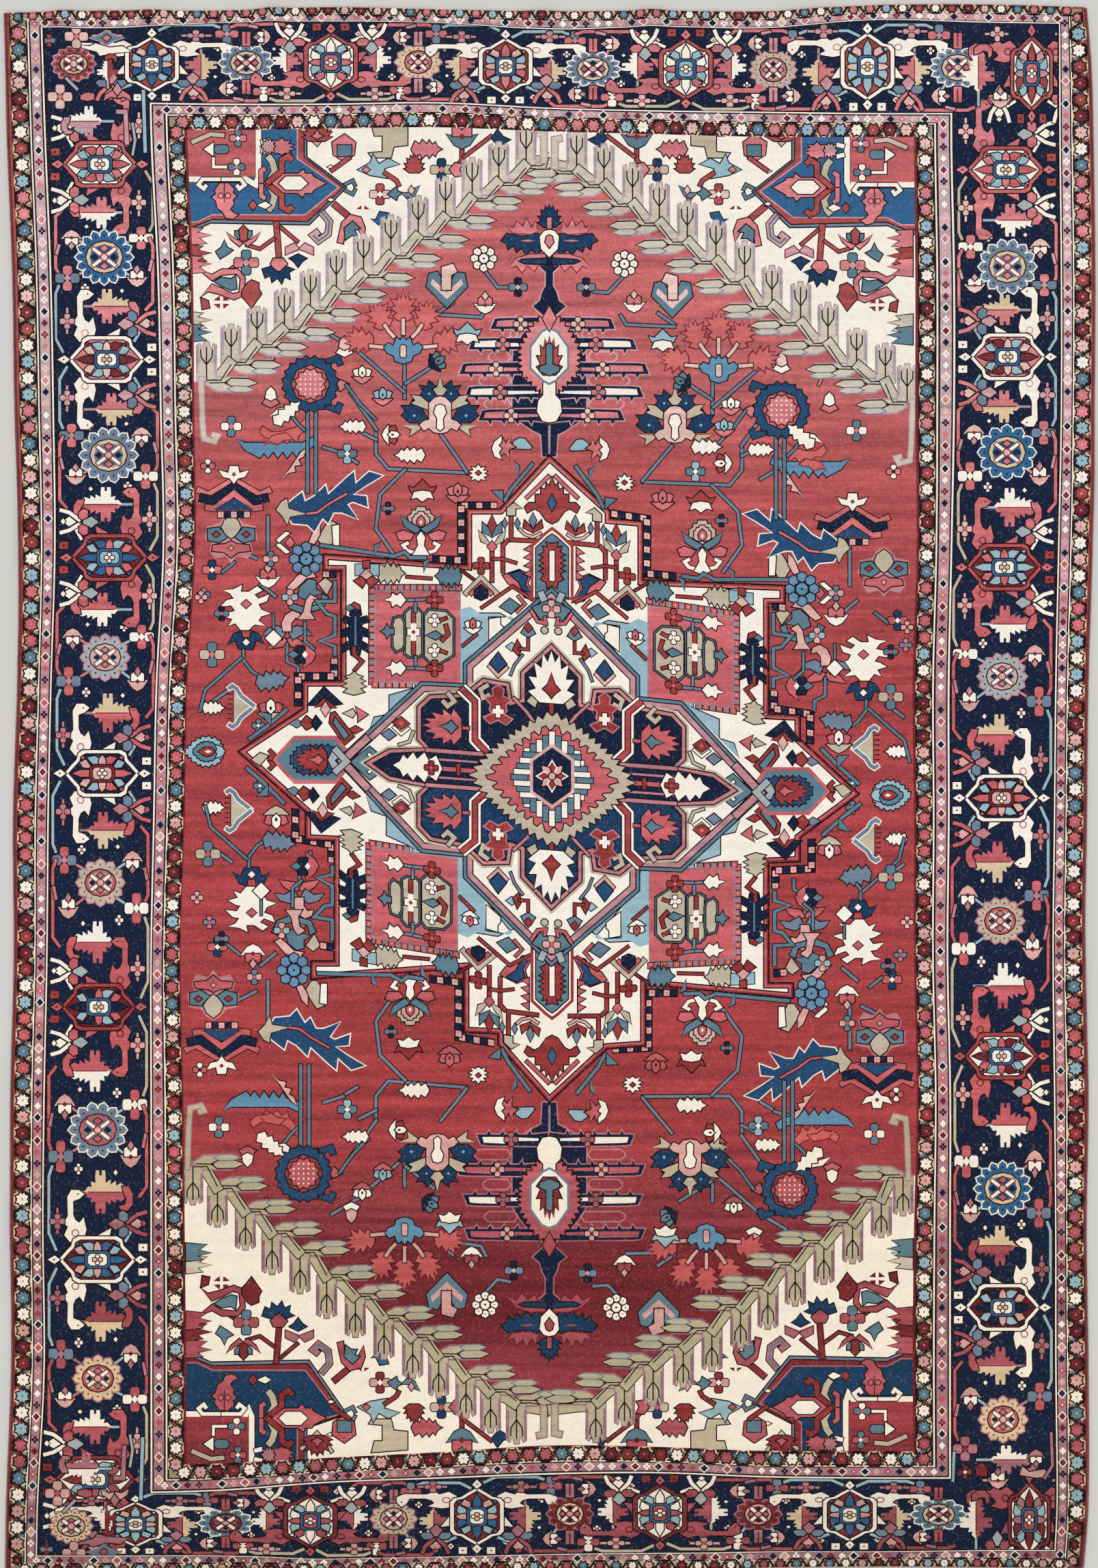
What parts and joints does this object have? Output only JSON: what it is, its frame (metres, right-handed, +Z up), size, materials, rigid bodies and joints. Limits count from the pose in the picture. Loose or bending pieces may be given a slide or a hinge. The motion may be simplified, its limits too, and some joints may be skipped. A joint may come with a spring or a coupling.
{
  "type": "persian rug",
  "caption": "Large hand-knotted wool rug with a stepped medallion, cornered spandrels and a navy main border, lying flat with low waves at its edges.",
  "frame": {"origin": "on the floor under the middle of the rug", "axes": "+Z up, +Y along the length towards the end with the larger waves, +X to the right seen from above with +Y away"},
  "size_m": [2.8812, 4.1525, 0.0209],
  "materials": {
    "pile": "worn knotted wool pile, matt",
    "selvage": "overcast wool yarn, matt",
    "warp_ends": "undyed cotton warp ends, matt"
  },
  "bodies": {
    "root": {"rug_body": "pile", "selvage_left": "selvage", "selvage_right": "selvage", "end_strip_top": "warp_ends", "end_strip_bottom": "warp_ends"}
  },
  "joints": []
}
